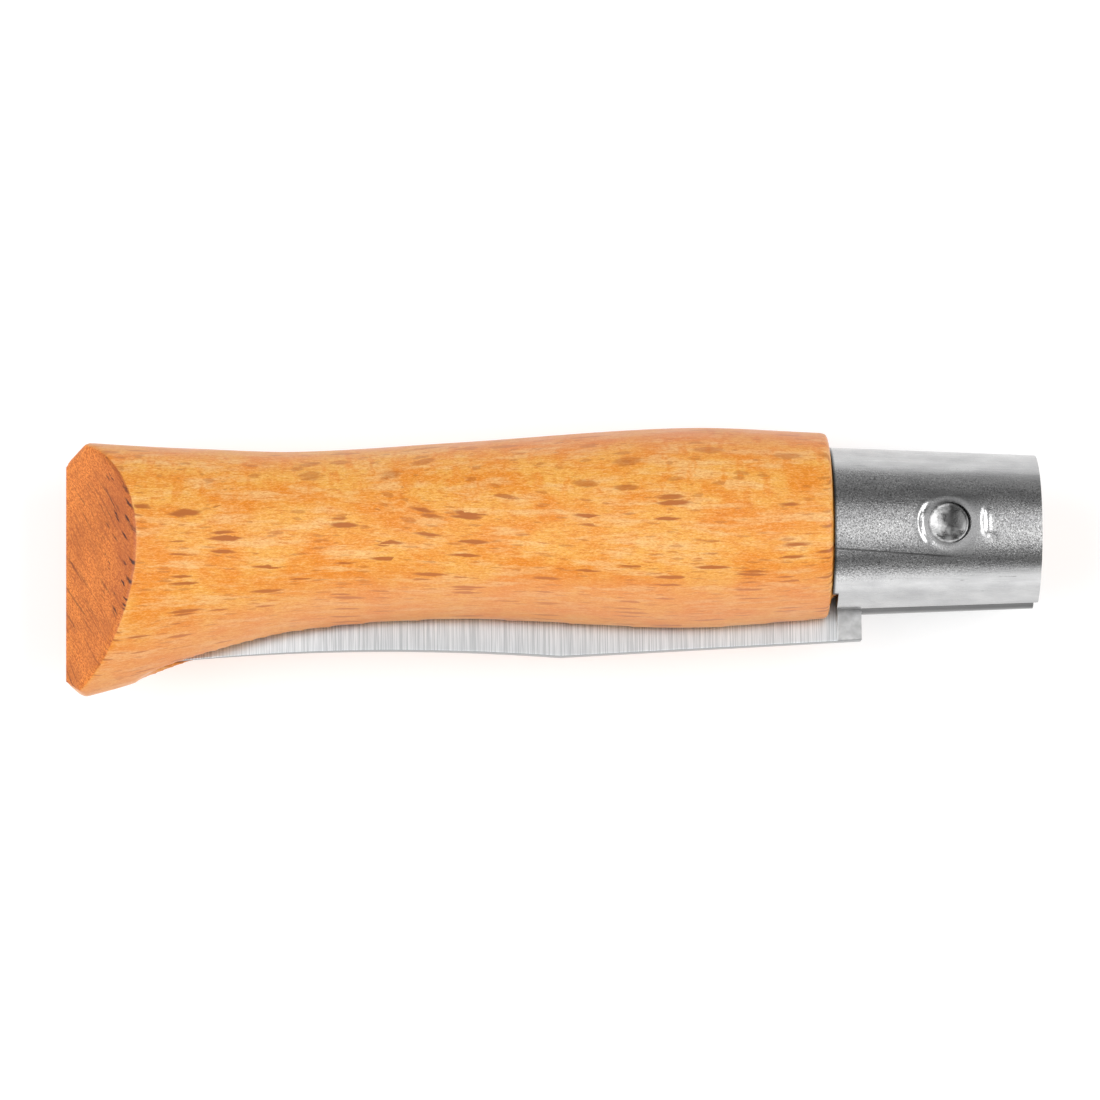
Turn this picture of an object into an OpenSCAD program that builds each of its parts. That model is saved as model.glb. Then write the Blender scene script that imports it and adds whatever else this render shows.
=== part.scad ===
// Folding grafting knife, shut and lying on its side.
// A one-piece beech handle is slotted from below for the blade. Its tapered steel
// ferrule is pushed over a turned tenon, and one rivet through ferrule, tenon and
// tang is the hinge. The blade is flat on the far side and ground on the near side.
//
// While the knife is modelled, X runs from the butt to the ferrule along the axis
// of the tenon, +Y is the back of the handle and +Z is the near side. The finished
// knife is then moved so that the origin is under its middle, on the table.

/* [Handle] */
// Length of the wood that shows, from the butt to the ferrule
handle_l = 82.4; // [74:0.1:96]
// Height of the back over the axis at the butt
back_butt = 9.95; // [9:0.05:12]
// Height of the back over the axis at the waist
back_waist = 8.8; // [8:0.05:10.5]
// Height of the back over the axis at the swell
back_swell = 11.4; // [10:0.05:13]
// Height of the back over the axis at the ferrule
back_front = 10.85; // [9.8:0.05:12.5]
// Depth of the slot side under the axis at the butt, which makes the heel
drop_butt = 18.4; // [16:0.1:20]
// Depth of the slot side under the axis at the waist
drop_waist = 9.74; // [8.5:0.01:10.5]
// Depth of the slot side under the axis at the swell
drop_swell = 10.66; // [9.5:0.01:11.5]
// Depth of the slot side under the axis at the ferrule
drop_front = 9.65; // [9.5:0.01:11]
// Thickness of the wood at the butt
thick_butt = 16.6; // [14:0.1:19]
// Thickness of the wood at the waist
thick_waist = 16.4; // [14:0.1:18]
// Thickness of the wood at the swell
thick_swell = 19.8; // [18:0.1:23]
// Thickness of the wood at the ferrule
thick_front = 19.2; // [19:0.1:22]
// Angle of the two butt facets from the middle plane of the knife
facet_a = 48; // [40:1:60]
// Reach along the handle of the corner cut at the back of the butt
back_cut_x = 2.5; // [1:0.1:4]
// Height of that corner cut
back_cut_y = 2.3; // [1:0.1:4]
// Reach along the handle of the corner cut at the heel
heel_cut_x = 2.1; // [1:0.1:4]
// Height of that corner cut
heel_cut_y = 1.6; // [1:0.1:4]

/* [Ferrule] */
// Length of the ferrule
ferrule_l = 22.45; // [18:0.05:28]
// Outer diameter of the ferrule against the wood
ferrule_back_d = 18.6; // [17.4:0.1:19]
// Outer diameter of the ferrule at its front rim
ferrule_front_d = 16.9; // [16.4:0.1:18.4]
// Thickness of the ferrule's sheet
ferrule_wall = 0.8; // [0.5:0.05:1]
// Outer radius of the bend where each edge of the slot turns inwards
lip_bend_r = 1.5; // [1.2:0.1:1.8]
// Height of the flange behind that bend
lip_flange_h = 1.2; // [0.5:0.1:2]
// Gap between the wood and the ferrule
seam_gap = 0.15; // [0.05:0.05:0.5]

/* [Blade] */
// Length of the blade from its shoulder to its point
blade_l = 75; // [60:0.5:76]
// Width of the blade at the shoulder
blade_root_w = 14.15; // [13:0.05:15.5]
// Width of the blade at its widest
blade_wide_w = 15.93; // [15:0.01:17]
// Distance of the widest place from the rivet
blade_wide_x = 41.5; // [36:0.5:46]
// Thickness of the blade at the tang
blade_t = 2; // [1.5:0.1:2.4]
// Thickness left at the cutting edge
edge_t = 0.12; // [0.08:0.01:0.3]
// Height of the cutting edge over the rivet when the knife is shut
edge_y = 2.4; // [1:0.1:3]
// Length of the curved part of the edge before the point
belly_l = 26; // [18:0.5:32]
// Hollow of the spine between the widest place and the point
spine_hollow = 0.88; // [0.3:0.01:1.5]
// Radius of the tang round the rivet
tang_r = 5.9; // [5:0.1:6.2]
// Length of the nail nick
nick_l = 12; // [8:0.5:15]

/* [Pivot] */
// Diameter of the rivet's shank
rivet_d = 4; // [3:0.1:4.6]
// Diameter of the rivet's peened head
rivet_head_d = 4.4; // [3.5:0.1:5]
// Distance of the rivet from the front rim of the ferrule
rivet_from_rim = 10.15; // [9:0.05:11]
// Distance of the blade's shoulder from the rivet
shoulder_x = 8.85; // [8:0.05:9.5]

/* [Clearances] */
// Gap between the blade and each wall of the wood's slot
slot_side_gap = 0.3; // [0.2:0.05:0.5]
// Gap between the shut blade and the bottom of the slot
slot_end_gap = 1.4; // [0.8:0.1:2]
// Length of the shallow run-out that the saw leaves past the end of the slot
saw_run = 2; // [0.5:0.1:3]
// Gap between the blade and each lip of the ferrule's slot
lip_side_gap = 0.5; // [0.3:0.05:0.8]
// Gap round the rivet's shank in the tang
pivot_gap = 0.05; // [0.02:0.01:0.1]
// Gap between pieces that are pressed together
seat_gap = 0.04; // [0.02:0.01:0.1]
// Gap between the open blade and its stop notch
stop_gap = 0.05; // [0.02:0.01:0.2]

/* [Hidden] */

wood_color = [0.86, 0.52, 0.22];
ferrule_color = [0.66, 0.67, 0.68];
blade_color = [0.8, 0.82, 0.82];
rivet_color = [0.55, 0.56, 0.57];

total_l = handle_l + seam_gap + ferrule_l;
ferrule_x = handle_l + seam_gap;
pivot_x = total_l - rivet_from_rim;
far = 60; // longer than any cut needs

// ---- outline of the wood ----

function mix(a, b, t) = a + (b - a) * t;

waist_x = 0.51 * handle_l;
swell_x = 0.81 * handle_l;

// One row a section: distance from the butt, back, slot side, half thickness, widest line
sections = [
    [0, back_butt, drop_butt, thick_butt / 2, -2.2],
    [0.17 * waist_x, mix(back_butt, back_waist, 0.42), mix(drop_butt, drop_waist, 0.23),
        mix(thick_butt, thick_waist, 0.5) / 2, -2],
    [0.34 * waist_x, mix(back_butt, back_waist, 0.72), mix(drop_butt, drop_waist, 0.53),
        thick_waist / 2, -1.4],
    [0.60 * waist_x, back_waist, mix(drop_butt, drop_waist, 0.85), thick_waist / 2, -0.6],
    [waist_x, mix(back_waist, back_swell, 0.38), drop_waist,
        mix(thick_waist, thick_swell, 0.35) / 2, 0],
    [swell_x, back_swell, drop_swell, thick_swell / 2, 0],
    [handle_l, back_front, drop_front, thick_front / 2, 0],
];
BACK = 1;
DROP = 2;
SIDE = 3;
LEVEL = 4;

last = len(sections) - 1;
function span(x, i = 0) = i >= last - 1 || x < sections[i + 1][0] ? i : span(x, i + 1);
function slope(i, k) =
    let (a = max(i - 1, 0), b = min(i + 1, last))
    (sections[b][k] - sections[a][k]) / (sections[b][0] - sections[a][0]);

// Smooth curve through column k of the sections
function along(x, k) =
    let (i = span(x), w = sections[i + 1][0] - sections[i][0], t = (x - sections[i][0]) / w)
    sections[i][k] * (1 + 2 * t) * pow(1 - t, 2) + slope(i, k) * w * t * pow(1 - t, 2)
    + sections[i + 1][k] * t * t * (3 - 2 * t) - slope(i + 1, k) * w * t * t * (1 - t);

// The heel is more pointed than the rest of the wood, whose section is nearly an ellipse
round_power = 2.12;
heel_power = 1.7;
function under_power(x) = mix(heel_power, round_power, min(1, x / waist_x));

function bulge(c, power) = sign(c) * pow(abs(c), 2 / power);

function wood_point(x, a) =
    let (
        over = sin(a) >= 0,
        power = over ? round_power : under_power(x),
        level = along(x, LEVEL),
        half_h = over ? along(x, BACK) - level : along(x, DROP) + level
    )
    [x, level + half_h * bulge(sin(a), power), along(x, SIDE) * bulge(cos(a), power)];

wood_steps = 40;
wood_sides = 44;

// A closed skin through rings of points, each ring with the same number of them. The end
// faces are laid as strips from one half of the ring to the other, so a ring may be a
// bent sheet.
module skin(rings) {
    n = len(rings[0]);
    m = len(rings);
    end = (m - 1) * n;
    strips = [for (j = [0 : n / 2 - 2]) [j, j + 1, n - 2 - j, n - 1 - j]];
    polyhedron(
        points = [for (ring = rings) each ring],
        faces = concat(
            [for (f = strips) [f[3], f[2], f[1], f[0]]],
            [for (i = [0 : m - 2], j = [0 : n - 1])
                [i * n + j, i * n + (j + 1) % n, (i + 1) * n + j]],
            [for (i = [0 : m - 2], j = [0 : n - 1])
                [i * n + (j + 1) % n, (i + 1) * n + (j + 1) % n, (i + 1) * n + j]],
            [for (f = strips) [for (k = f) end + k]]
        )
    );
}

module wood_blank() {
    skin([for (i = [0 : wood_steps])
        [for (j = [0 : wood_sides - 1])
            wood_point(handle_l * i / wood_steps, 360 * j / wood_sides)]]);
}

// The half of space on the left of a line through p in the direction a, as seen from +Z
module half_space(p, a) {
    translate([p[0], p[1], -far / 2])
        rotate([0, 0, a])
            translate([-far, 0, 0])
                cube([2 * far, far, far]);
}

module butt_cuts() {
    for (side = [0, 1])
        mirror([0, 0, side])
            rotate([0, -facet_a, 0])
                translate([-far / 2, -far / 2, 0])
                    cube([far, far, far / 2]);
    half_space([back_cut_x, along(back_cut_x, BACK)], atan(back_cut_y / back_cut_x));
    half_space([heel_cut_x, -along(heel_cut_x, DROP)], 180 - atan(heel_cut_y / heel_cut_x));
}

// ---- sizes that the slot, the lips and the blade share ----

slot_w = blade_t + 2 * slot_side_gap;
lip_w = blade_t + 2 * lip_side_gap;
tip_x = shoulder_x + blade_l;
tip_h = 0.2; // the point is not quite sharp
tip_drop = 0.42; // the point lies lower than the widest place of the shut blade
belly_x = tip_x - belly_l;
belly_h = edge_y - spine_at(tip_x) - tip_h;
belly_r = (belly_l * belly_l + belly_h * belly_h) / (2 * belly_h);

// Height of the spine over the rivet, at a distance from the rivet
function spine_at(x) =
    let (
        root = edge_y - blade_root_w,
        wide = edge_y - blade_wide_w,
        t = (x - blade_wide_x) / (tip_x - blade_wide_x)
    )
    x < blade_wide_x
        ? mix(root, wide, (x - shoulder_x) / (blade_wide_x - shoulder_x))
        : wide - tip_drop * t + 4 * spine_hollow * t * (1 - t);

function ferrule_r(x) = mix(ferrule_back_d, ferrule_front_d, (x - ferrule_x) / ferrule_l) / 2;

// ---- handle ----

tenon_recess = 0.4; // the tenon ends this far inside the rim
roof_y = edge_y + slot_end_gap;
sweep_r = tang_r + 2 * slot_side_gap;
slope_l = 2.6; // the tang falls to the cutting edge within this length
slot_x = pivot_x - tip_x - slot_end_gap;
run_x = slot_x - saw_run;
run_depth = 0.15; // depth of the run-out where it starts

module slot_outline() {
    difference() {
        translate([slot_x, -far])
            square([tip_x + slot_end_gap + far, far + roof_y]);
        // The saw leaves the corner over the point of the blade solid
        difference() {
            translate([pivot_x - tip_x - 2 * slot_end_gap, edge_y - belly_h - far])
                square([belly_l + 2 * slot_end_gap, belly_h + far + 2 * slot_end_gap]);
            translate([pivot_x - belly_x, edge_y - belly_r])
                circle(r = belly_r + slot_end_gap, $fn = 180);
            translate([slot_x, -far + edge_y - belly_h])
                square([belly_l + slot_end_gap, far - 1]);
        }
    }
    // The saw runs out to the surface of the heel
    polygon([
        [run_x, -far], [run_x, run_depth - along(run_x, DROP)],
        [slot_x + 0.1, edge_y - belly_h - 1], [slot_x + 0.1, -far],
    ]);
    // Room for the tang and for the root of the blade to turn
    polygon([
        [pivot_x - shoulder_x - 5, roof_y], [pivot_x - tang_r - slope_l, sweep_r],
        [pivot_x, sweep_r], [pivot_x, -far], [pivot_x - shoulder_x - 5, -far],
    ]);
    translate([pivot_x, 0])
        circle(r = sweep_r, $fn = 96);
    translate([pivot_x, -far])
        square([far, far + sweep_r]);
    translate([pivot_x + shoulder_x - stop_gap, -far])
        square([far, 2 * far]);
}

// The tenon is cut back where the ferrule's lips turn in
module lip_rebate() {
    flange_top = -lip_center_y(total_l) + lip_flange_h + 2 * seat_gap;
    for (cut = [
        [lip_w / 2 + ferrule_wall + 2 * seat_gap, flange_top],
        [lip_w / 2 + lip_bend_r + ferrule_wall, -lip_center_y(total_l)],
    ])
        translate([ferrule_x - seam_gap, -far, -cut[0]])
            cube([far, far + cut[1], 2 * cut[0]]);
}

module tenon() {
    inner = ferrule_wall + seat_gap;
    length = ferrule_l + seam_gap - tenon_recess;
    overlap = 4; // the tenon and the wood are one piece, so they share this much
    taper = (ferrule_back_d - ferrule_front_d) / 2 / ferrule_l;
    translate([handle_l - overlap, 0, 0])
        rotate([0, 90, 0])
            cylinder(
                r1 = ferrule_back_d / 2 - inner + taper * (overlap + seam_gap),
                r2 = ferrule_r(handle_l + length) - inner,
                h = length + overlap, $fn = 96
            );
}

module handle() {
    color(wood_color)
        difference() {
            union() {
                difference() {
                    wood_blank();
                    butt_cuts();
                }
                difference() {
                    tenon();
                    lip_rebate();
                }
            }
            translate([0, 0, -slot_w / 2])
                linear_extrude(slot_w)
                    slot_outline();
            translate([pivot_x, 0, 0])
                cylinder(d = rivet_d + 2 * seat_gap, h = far, center = true, $fn = 64);
        }
}

// ---- ferrule ----

// Depth of the centre of the lip's bend under the axis
function lip_center_y(x) =
    sqrt(pow(ferrule_r(x) - lip_bend_r, 2) - pow(lip_w / 2 + lip_bend_r, 2));

function arc(center, r, from, to, steps) =
    [for (i = [0 : steps]) let (a = mix(from, to, i / steps)) center + r * [cos(a), sin(a)]];

bend_steps = 8;
round_steps = 72;

// One side of the sheet, as [z, y] points from the near flange round to the far one
function sheet_side(x, inset) =
    let (
        cy = -lip_center_y(x),
        cz = lip_w / 2 + lip_bend_r,
        turn = atan2(cy, cz),
        r = lip_bend_r - inset,
        top = cy + lip_flange_h
    )
    concat(
        [[cz - r, top]],
        arc([cz, cy], r, 180, 360 + turn, bend_steps),
        [for (p = arc([0, 0], ferrule_r(x) - inset, turn, 180 - turn, round_steps)) p],
        arc([-cz, cy], r, 180 - turn, 360, bend_steps),
        [[-cz + r, top]]
    );

function sheet_ring(x) =
    let (outer = sheet_side(x, 0), inner = sheet_side(x, ferrule_wall), n = len(inner))
    [for (p = concat(outer, [for (i = [n - 1 : -1 : 0]) inner[i]])) [x, p[1], p[0]]];

corner_notch_l = 0.6;
corner_notch_h = 1.4;

module ferrule() {
    color(ferrule_color)
        difference() {
            skin([sheet_ring(ferrule_x), sheet_ring(total_l)]);
            // The blade's shoulder stops in this notch when the knife is open
            translate([pivot_x + shoulder_x - stop_gap, 0, -slot_w / 2])
                cube([far, far, slot_w]);
            // Relief at the back corner of each lip
            translate([ferrule_x - 1, -far - lip_center_y(ferrule_x) - lip_bend_r + corner_notch_h,
                -far / 2])
                cube([1 + corner_notch_l, far, far]);
            translate([pivot_x, 0, 0])
                cylinder(d = rivet_d + 2 * seat_gap, h = far, center = true, $fn = 64);
            for (side = [0, 1])
                mirror([0, 0, side])
                    translate([pivot_x, 0, head_z])
                        cylinder(
                            d1 = rivet_d + 2 * seat_gap,
                            d2 = rivet_d + 2 * seat_gap + 2 * (rivet_head_d - rivet_d),
                            h = 2 * (rivet_end_z - head_z), $fn = 64
                        );
        }
}

// ---- rivet ----

pivot_r = ferrule_r(pivot_x); // radius of the ferrule at the rivet
rivet_end_z = sqrt(pivot_r * pivot_r - rivet_head_d * rivet_head_d / 4);
head_z = pivot_r - ferrule_wall; // the head starts to flare inside the sheet

module rivet_profile() {
    polygon([
        [0, -rivet_end_z], [rivet_head_d / 2, -rivet_end_z], [rivet_d / 2, -head_z],
        [rivet_d / 2, head_z], [rivet_head_d / 2, rivet_end_z], [0, rivet_end_z],
    ]);
}

dish_depth = 0.45;
dish_rim = 0.25;

module pivot_rivet() {
    dish_half = rivet_head_d / 2 - dish_rim;
    dish_r = (dish_half * dish_half + dish_depth * dish_depth) / (2 * dish_depth);
    color(rivet_color)
        translate([pivot_x, 0, 0])
            difference() {
                rotate_extrude($fn = 64)
                    rivet_profile();
                for (side = [0, 1])
                    mirror([0, 0, side])
                        translate([0, 0, rivet_end_z + dish_r - dish_depth])
                            sphere(r = dish_r, $fn = 96);
            }
}

// ---- blade, drawn from the rivet with its point towards -X ----

plunge_x = shoulder_x + 2.6; // the ground face starts here
grind = (blade_t - edge_t) / blade_wide_w; // rise of the ground face from the edge

// Height of the cutting edge over the rivet, at a distance from the rivet
function edge_at(x) =
    x < belly_x ? edge_y : edge_y - belly_r + sqrt(pow(belly_r, 2) - pow(x - belly_x, 2));

// Distance of a place on the ground face from the cutting edge
function from_edge(x, y) =
    x < belly_x ? edge_y - y : belly_r - norm([x - belly_x, y - edge_y + belly_r]);

across = 4;
function blade_ring(x) =
    let (low = spine_at(x), high = edge_at(x))
    [for (p = concat(
        [[low, -blade_t / 2]],
        [for (i = [0 : across]) let (y = mix(low, high, i / across))
            [y, edge_t - blade_t / 2 + grind * from_edge(x, y)]],
        [[high, -blade_t / 2]],
        [for (i = [across - 1 : -1 : 1]) [mix(low, high, i / across), -blade_t / 2]]
    )) [-x, p[0], p[1]]];

belly_turn = asin(belly_l / belly_r);
blade_stations = concat(
    [plunge_x],
    [for (i = [0 : 4]) mix(blade_wide_x, belly_x, i / 4)],
    [for (i = [1 : 16]) belly_x + belly_r * sin(belly_turn * i / 16)]
);

module ground_blade() {
    n = len(blade_stations);
    skin([for (i = [n - 1 : -1 : 0]) blade_ring(blade_stations[i])]);
}

module tang_outline() {
    polygon([
        [-plunge_x, spine_at(plunge_x)], [-plunge_x, edge_y], [-tang_r - 2, tang_r - 0.3],
        [-2, tang_r - 0.3], [-2, -tang_r], [-shoulder_x, -tang_r], [-shoulder_x, spine_at(shoulder_x)],
    ]);
    circle(r = tang_r, $fn = 96);
}

nick_x = 50;
nick_from_spine = 1.1;
nick_w = 1.5;
nick_depth = 0.6;

module nail_nick() {
    wheel_r = (nick_l * nick_l / 4 + nick_depth * nick_depth) / (2 * nick_depth);
    translate([-nick_x, spine_at(nick_x) + nick_from_spine,
        -blade_t / 2 + nick_depth - wheel_r])
        rotate([-90, 0, 0])
            cylinder(r1 = wheel_r, r2 = wheel_r - nick_depth, h = nick_w, $fn = 180);
}

module blade() {
    color(blade_color)
        translate([pivot_x, 0, 0])
            difference() {
                union() {
                    ground_blade();
                    translate([0, 0, -blade_t / 2])
                        linear_extrude(blade_t)
                            tang_outline();
                }
                nail_nick();
                cylinder(d = rivet_d + 2 * pivot_gap, h = far, center = true, $fn = 64);
            }
}

// ---- place on the table ----

highest = max([for (i = [0 : wood_steps]) along(handle_l * i / wood_steps, BACK)]);
lowest = -along(heel_cut_x, DROP);
thickest = max([for (i = [0 : wood_steps]) along(handle_l * i / wood_steps, SIDE)]);

module on_table() {
    translate([-total_l / 2, -(highest + lowest) / 2, thickest])
        children();
}

on_table() handle();
on_table() ferrule();
on_table() blade();
on_table() pivot_rivet();
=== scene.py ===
# %% [markdown]
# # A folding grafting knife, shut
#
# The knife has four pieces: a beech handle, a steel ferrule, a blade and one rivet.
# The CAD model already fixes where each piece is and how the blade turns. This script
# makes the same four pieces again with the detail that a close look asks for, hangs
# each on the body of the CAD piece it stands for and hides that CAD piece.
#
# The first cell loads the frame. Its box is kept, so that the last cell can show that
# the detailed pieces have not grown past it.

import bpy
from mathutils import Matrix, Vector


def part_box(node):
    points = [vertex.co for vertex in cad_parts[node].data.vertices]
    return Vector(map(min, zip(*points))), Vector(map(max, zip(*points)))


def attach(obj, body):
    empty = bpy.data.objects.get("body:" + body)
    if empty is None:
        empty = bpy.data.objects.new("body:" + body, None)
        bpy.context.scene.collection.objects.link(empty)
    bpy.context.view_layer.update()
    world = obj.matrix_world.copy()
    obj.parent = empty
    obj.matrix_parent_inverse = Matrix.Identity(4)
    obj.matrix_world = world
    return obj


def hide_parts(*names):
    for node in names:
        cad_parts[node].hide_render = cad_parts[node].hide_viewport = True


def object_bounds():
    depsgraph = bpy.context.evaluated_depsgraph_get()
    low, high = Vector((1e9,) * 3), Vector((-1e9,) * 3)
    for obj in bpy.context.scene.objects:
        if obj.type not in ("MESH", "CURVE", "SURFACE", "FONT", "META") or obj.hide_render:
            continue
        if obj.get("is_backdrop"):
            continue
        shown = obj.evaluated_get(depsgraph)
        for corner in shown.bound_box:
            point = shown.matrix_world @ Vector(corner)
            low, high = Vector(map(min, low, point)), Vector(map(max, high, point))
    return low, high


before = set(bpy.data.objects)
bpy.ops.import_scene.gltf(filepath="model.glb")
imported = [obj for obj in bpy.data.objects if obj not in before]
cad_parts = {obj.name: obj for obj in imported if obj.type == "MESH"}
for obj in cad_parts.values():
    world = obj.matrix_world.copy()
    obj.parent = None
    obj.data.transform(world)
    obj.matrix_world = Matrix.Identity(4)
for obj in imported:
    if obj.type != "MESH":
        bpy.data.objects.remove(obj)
cad_low, cad_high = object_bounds()

# %% [markdown]
# ## Working sizes
#
# A maker thinks in millimetres from a datum: here X runs from the butt along the axis
# of the handle, Y is up towards the back of the handle and Z comes out of its side.
# Blender's world is in metres with the knife lying on the table, so one function moves
# a finished mesh from the drawing to the table. The rivet's place is read from the
# frame, so both models share it.

# %% Sizes of the knife
import math

import bmesh
import bpy
import numpy as np
from mathutils import Matrix, Vector

HANDLE = 82.4
FERRULE_X, FERRULE_L = 82.55, 22.45
KNIFE_L = 105.0
PIVOT_X = 94.85
FACET = math.radians(48)
BACK_R, FRONT_R, WALL = 9.3, 8.45, 0.8  # outside of the ferrule at its ends, and its sheet
SHANK_R, HEAD_R = 2.0, 2.2  # of the rivet

rivet_low, rivet_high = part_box("pivot_rivet")
pivot = (rivet_low + rivet_high) / 2
on_table = Matrix.Translation(pivot) @ Matrix.Scale(0.001, 4) @ Matrix.Translation((-PIVOT_X, 0, 0))
print("the rivet is at", [round(c, 4) for c in pivot])


# %% Small helpers for meshes
def new_piece(name, me):
    ob = bpy.data.objects.new(name, me)
    bpy.context.scene.collection.objects.link(ob)
    return ob


def mesh_of(name, points, faces):
    me = bpy.data.meshes.new(name)
    me.from_pydata([tuple(p) for p in points], [], faces)
    me.validate()
    return me


def baked(ob, name):
    """The object's mesh with its modifiers worked out, and the object itself removed."""
    bpy.context.view_layer.update()
    me = bpy.data.meshes.new_from_object(ob.evaluated_get(bpy.context.evaluated_depsgraph_get()))
    me.name = name
    bpy.data.objects.remove(ob)
    return me


def carved(me, cutters, name):
    """A mesh with solid cutters taken out of it."""
    ob = new_piece(name, me)
    tools = []
    for cutter in cutters:
        tool = new_piece("cutter", cutter)
        mod = ob.modifiers.new("cut", "BOOLEAN")
        mod.operation, mod.solver, mod.object = "DIFFERENCE", "EXACT", tool
        tools.append(tool)
    out = baked(ob, name)
    for tool in tools:
        bpy.data.objects.remove(tool)
    return out


def loft(rings, name):
    """Quads through rings of points. Every ring has the same count, and X grows."""
    n = len(rings[0])
    faces = [
        (i * n + j, (i + 1) * n + j, (i + 1) * n + (j + 1) % n, i * n + (j + 1) % n)
        for i in range(len(rings) - 1)
        for j in range(n)
    ]
    last = (len(rings) - 1) * n
    faces += [tuple(range(n)), tuple(last + j for j in reversed(range(n)))]
    return mesh_of(name, [p for ring in rings for p in ring], faces)


def slab(outline, low, high, name):
    """A flat outline in X and Y, given anticlockwise, thickened from low to high."""
    n = len(outline)
    points = [(x, y, low) for x, y in outline] + [(x, y, high) for x, y in outline]
    sides = [(j, (j + 1) % n, n + (j + 1) % n, n + j) for j in range(n)]
    return mesh_of(name, points, [tuple(reversed(range(n))), tuple(range(n, 2 * n)), *sides])


def box_mesh(x0, x1, y0, y1, z0, z1):
    return slab([(x0, y0), (x1, y0), (x1, y1), (x0, y1)], z0, z1, "box")


def rod(x, y, r0, r1, z0, z1, sides=64):
    """A round cutter along Z, which may be conical."""
    turn = [2 * math.pi * j / sides for j in range(sides)]
    points = [(x + r0 * math.cos(a), y + r0 * math.sin(a), z0) for a in turn]
    points += [(x + r1 * math.cos(a), y + r1 * math.sin(a), z1) for a in turn]
    sides_of = [(j, (j + 1) % sides, sides + (j + 1) % sides, sides + j) for j in range(sides)]
    ends = [tuple(reversed(range(sides))), tuple(range(sides, 2 * sides))]
    return mesh_of("rod", points, ends + sides_of)


def finish_piece(me, name, body, node, material, angle=None):
    """Puts a mesh on the table, hangs it on its body and hides the CAD piece it replaces."""
    me.transform(on_table)
    me.materials.clear()
    me.materials.append(material)
    me.shade_smooth()
    if angle is not None:
        me.set_sharp_from_angle(angle=math.radians(angle))
    ob = new_piece(name, me)
    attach(ob, body)
    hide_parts(node)
    print(name, "has", sum(len(p.vertices) - 2 for p in me.polygons), "triangles")
    return ob


def mix(a, b, t):
    return a + (b - a) * t


# %% [markdown]
# ## Building materials from nodes
#
# Each finish is a node tree. Writing `tree.nodes.new` again and again hides the idea,
# so two helpers make a node with its values and join it to what feeds it.

# %% Helpers for nodes
def add(tree, kind, values=None, **settings):
    """A node. Settings are its own options, and values fill or join its sockets."""
    node = tree.nodes.new(kind)
    for key, value in settings.items():
        setattr(node, key, value)
    for key, value in (values or {}).items():
        socket = node.inputs[key]
        if isinstance(value, bpy.types.NodeSocket):
            tree.links.new(value, socket)
        else:
            socket.default_value = value
    return node


def calc(tree, operation, a, b=0.0, c=0.0, clamp=False):
    node = add(tree, "ShaderNodeMath", {0: a, 1: b, 2: c}, operation=operation, use_clamp=clamp)
    return node.outputs[0]


def blend(tree, factor, a, b):
    """Colour a, turned towards colour b by a factor."""
    node = add(tree, "ShaderNodeMix", {0: factor, 6: a, 7: b}, data_type="RGBA")
    return node.outputs[2]


def fade(tree, value, low, high, out_low=0.0, out_high=1.0):
    """A soft step: value goes from out_low to out_high between low and high."""
    node = add(
        tree, "ShaderNodeMapRange",
        {"Value": value, "From Min": low, "From Max": high, "To Min": out_low, "To Max": out_high},
        interpolation_type="SMOOTHSTEP",
    )
    return node.outputs[0]


def stretched(tree, vector, scale, move=(0, 0, 0)):
    first = add(tree, "ShaderNodeMapping", {"Vector": vector, "Location": move})
    return add(tree, "ShaderNodeMapping", {"Vector": first.outputs[0], "Scale": scale}).outputs[0]


def noise(tree, vector, scale=1.0, detail=3.0, rough=0.5):
    node = add(
        tree, "ShaderNodeTexNoise",
        {"Vector": vector, "Scale": scale, "Detail": detail, "Roughness": rough},
    )
    return node.outputs[0]


def drawing_mm(tree):
    """Object coordinates turned back into millimetres of the drawing."""
    spot = add(tree, "ShaderNodeTexCoord").outputs["Object"]
    centred = add(tree, "ShaderNodeVectorMath", {0: spot, 1: tuple(pivot)}, operation="SUBTRACT")
    scaled = add(
        tree, "ShaderNodeVectorMath", {0: centred.outputs[0], 1: (1000, 1000, 1000)}, operation="MULTIPLY"
    )
    return add(
        tree, "ShaderNodeVectorMath", {0: scaled.outputs[0], 1: (PIVOT_X, 0, 0)}, operation="ADD"
    ).outputs[0]


def distance_from(tree, mm, place):
    """Distance across the face of the knife, in millimetres, from a place in the drawing."""
    off = add(tree, "ShaderNodeVectorMath", {0: mm, 1: place}, operation="SUBTRACT")
    off = add(tree, "ShaderNodeVectorMath", {0: off.outputs[0], 1: (1, 1, 0)}, operation="MULTIPLY")
    return add(tree, "ShaderNodeVectorMath", {0: off.outputs[0]}, operation="LENGTH").outputs["Value"]


def feed(tree, shader, colour, rough, height, strength, distance):
    """Joins colour, roughness and a bump made from a height to the shader."""
    bump = add(tree, "ShaderNodeBump", {"Strength": strength, "Distance": distance, "Height": height})
    for key, socket in (("Base Color", colour), ("Roughness", rough), ("Normal", bump.outputs[0])):
        tree.links.new(socket, shader.inputs[key])


def new_material(name):
    material = bpy.data.materials.new(name)
    material.use_nodes = True
    return material, material.node_tree, material.node_tree.nodes["Principled BSDF"]


def new_group(name, inputs, outputs):
    """An empty shader group with named sockets. Inputs map a name to its default value."""
    group = bpy.data.node_groups.new(name, "ShaderNodeTree")
    for key, value in inputs.items():
        kind = "NodeSocketVector" if isinstance(value, tuple) else "NodeSocketFloat"
        group.interface.new_socket(key, in_out="INPUT", socket_type=kind).default_value = value
    for key in outputs:
        group.interface.new_socket(key, in_out="OUTPUT", socket_type="NodeSocketFloat")
    return group, group.nodes.new("NodeGroupInput"), group.nodes.new("NodeGroupOutput")


def placed(tree, group, values):
    return add(tree, "ShaderNodeGroup", values, node_tree=group)


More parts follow.
